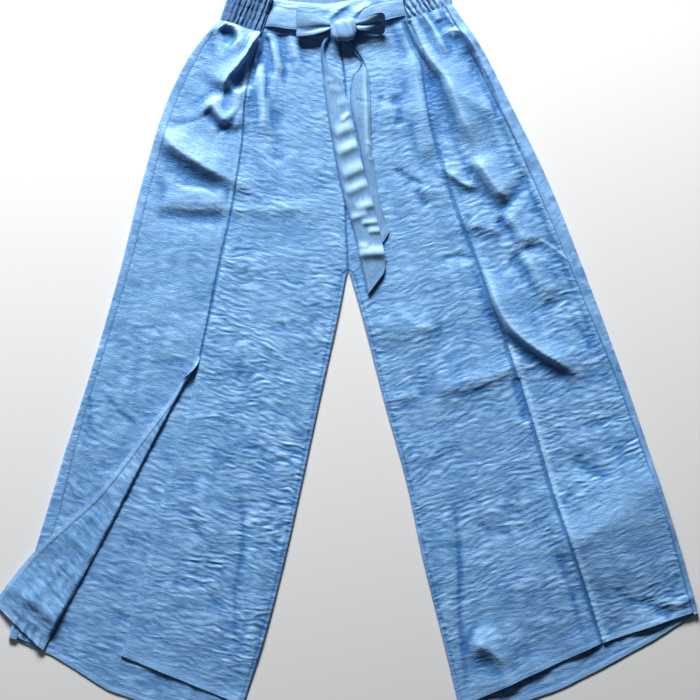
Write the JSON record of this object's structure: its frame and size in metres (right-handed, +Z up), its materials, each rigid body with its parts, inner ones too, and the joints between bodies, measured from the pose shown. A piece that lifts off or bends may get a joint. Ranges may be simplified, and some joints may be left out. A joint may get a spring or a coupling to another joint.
{
  "type": "palazzo pants",
  "caption": "Wide-legged palazzo pants of crinkled crepe laid flat, with an elastic waist, a tied bow and slit front legs, one slit turned open",
  "frame": {"origin": "bottom centre of the bounding box, on the surface that the garment lies on", "axes": "+Z up from the surface, +Y from the hems to the waist, +X towards the wearer's left leg"},
  "size_m": [0.9874, 1.0551, 0.0229],
  "materials": {
    "crepe": "matte crinkled crepe with a faint sheen",
    "crepe_back": "matte crinkled crepe",
    "tie": "smooth crepe with a soft satin sheen"
  },
  "bodies": {
    "root": {"back_right": "crepe_back", "back_left": "crepe_back", "front_centre_right": "crepe", "front_centre_left": "crepe", "front_side_right": "crepe", "front_side_left": "crepe", "waistband_front": "crepe", "waistband_elastic": "crepe_back", "tie_strap_right": "tie", "tie_strap_left": "tie", "bow_loop_right": "tie", "bow_loop_left": "tie", "knot": "tie", "tail_long": "tie", "tail_short": "tie"}
  },
  "joints": []
}
